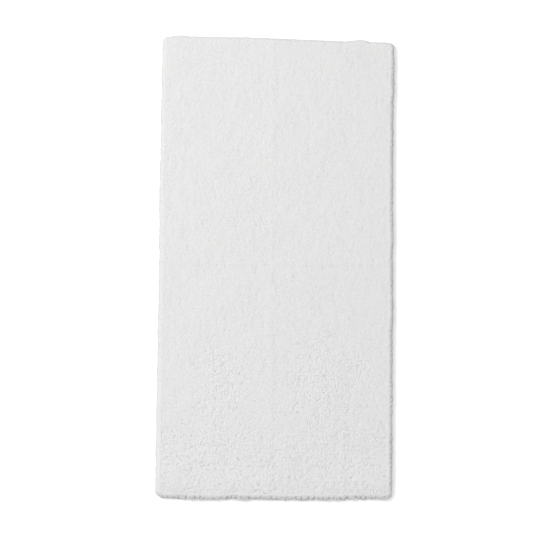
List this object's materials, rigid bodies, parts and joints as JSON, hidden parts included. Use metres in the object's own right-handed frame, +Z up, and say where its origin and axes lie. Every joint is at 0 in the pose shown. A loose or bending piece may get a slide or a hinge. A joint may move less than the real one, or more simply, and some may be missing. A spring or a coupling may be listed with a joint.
{
  "type": "bath mat",
  "caption": "Rectangular cut-pile bath mat with an anti-slip underside, taped hem and a crosswise fold line at mid length.",
  "frame": {"origin": "centre of the underside, on the floor, at the crosswise fold line", "axes": "+X along the width, +Y along the length towards the far end (the half that folds over), +Z up out of the pile"},
  "size_m": [0.6, 1.1997, 0.022],
  "materials": {
    "pile_yarn": "soft matt cut pile",
    "backing_cloth": "plain weave",
    "latex": "dull skin over the stitch-back",
    "antislip_coat": "matt rubbery film with small grip dots",
    "hem_tape": "woven twill tape",
    "thread": "twisted sewing thread",
    "label": "blank satin label"
  },
  "bodies": {
    "near_half": {"near_pile": "pile_yarn", "near_backing_cloth": "backing_cloth", "near_latex_coat": "latex", "near_antislip_coat": "antislip_coat", "near_end_hem_tape": "hem_tape", "left_near_hem_tape": "hem_tape", "right_near_hem_tape": "hem_tape", "near_end_hem_seam": "thread", "left_near_hem_seam": "thread", "right_near_hem_seam": "thread"},
    "far_half": {"far_pile": "pile_yarn", "far_backing_cloth": "backing_cloth", "far_latex_coat": "latex", "far_antislip_coat": "antislip_coat", "far_end_hem_tape": "hem_tape", "left_far_hem_tape": "hem_tape", "right_far_hem_tape": "hem_tape", "far_end_hem_seam": "thread", "left_far_hem_seam": "thread", "right_far_hem_seam": "thread", "care_label": "label", "care_label_tack": "thread"}
  },
  "joints": [
    {"name": "crosswise_fold", "type": "hinge", "parent": "near_half", "child": "far_half", "pos_m": [0, 0, 0.0223], "axis": [1, 0, 0], "range_deg": [0, 180]}
  ]
}
